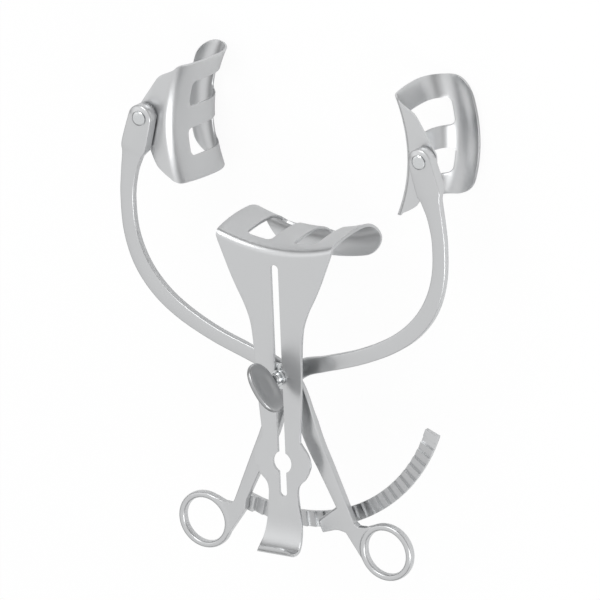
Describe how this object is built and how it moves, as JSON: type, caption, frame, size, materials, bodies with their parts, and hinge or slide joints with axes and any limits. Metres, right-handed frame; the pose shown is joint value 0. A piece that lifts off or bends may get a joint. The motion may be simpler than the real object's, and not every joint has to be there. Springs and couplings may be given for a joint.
{
  "type": "abdominal retractor",
  "caption": "Self-retaining abdominal retractor: crossed ratchet arms with finger rings, swivelling windowed side blades and a sliding slotted centre blade held by a thumb screw.",
  "frame": {"origin": "on the pivot axis of the two arms, in the flat rear face of the pivot screw's head", "axes": "+Y runs from the finger rings towards the blades along the centre blade's shank, +Z out of the wound towards the surgeon along the pivot axis, +X to the right of the picture"},
  "size_m": [0.3196, 0.4234, 0.1422],
  "materials": {
    "forged_steel": "satin",
    "sheet_steel": "satin",
    "turned_steel": "polished"
  },
  "bodies": {
    "pivot": {"pivot_screw": "turned_steel", "pivot_nut": "turned_steel", "clamp_washer": "turned_steel"},
    "left_arm": {"left_arm": "forged_steel", "left_blade_pin": "turned_steel", "left_spring_washer": "turned_steel", "left_rear_washer": "turned_steel"},
    "right_arm": {"right_arm": "forged_steel", "ratchet_bar": "forged_steel", "ratchet_rivet_inner": "turned_steel", "ratchet_rivet_outer": "turned_steel", "right_blade_pin": "turned_steel", "right_spring_washer": "turned_steel", "right_rear_washer": "turned_steel"},
    "slide_block": {"slide_block": "turned_steel"},
    "centre_blade": {"centre_blade": "sheet_steel"},
    "left_blade": {"left_blade": "sheet_steel"},
    "right_blade": {"right_blade": "sheet_steel"},
    "thumb": {"thumb_hub": "turned_steel", "thumb_spade": "turned_steel"}
  },
  "joints": [
    {"name": "left_arm_pivot", "type": "hinge", "parent": "pivot", "child": "left_arm", "pos_m": [0, 0, 0.0108], "axis": [0, 0, 1], "range_deg": [-8, 16]},
    {"name": "right_arm_pivot", "type": "hinge", "parent": "pivot", "child": "right_arm", "pos_m": [0, 0, 0.0054], "axis": [0, 0, 1], "range_deg": [-16, 8]},
    {"name": "left_blade_swivel", "type": "hinge", "parent": "left_arm", "child": "left_blade", "pos_m": [-0.1375, 0.2032, 0.0004], "axis": [0, 0, 1], "range_deg": [-10, 10]},
    {"name": "right_blade_swivel", "type": "hinge", "parent": "right_arm", "child": "right_blade", "pos_m": [0.1375, 0.2032, -0.0036], "axis": [0, 0, 1], "range_deg": [-10, 10]},
    {"name": "slide_block_swivel", "type": "hinge", "parent": "pivot", "child": "slide_block", "pos_m": [0, 0, 0.0211], "axis": [0, 0, 1], "range_deg": [-5, 5]},
    {"name": "centre_blade_slide", "type": "slide", "parent": "slide_block", "child": "centre_blade", "axis": [0, 1, 0], "range_m": [-0.055, 0.025]},
    {"name": "thumb_turn", "type": "hinge", "parent": "pivot", "child": "thumb", "pos_m": [0, 0, 0.0278], "axis": [0, 0, 1], "range_deg": [0, 360]}
  ],
  "couplings": [
    {"joint": "right_arm_pivot", "follows": "left_arm_pivot", "ratio": -1}
  ]
}
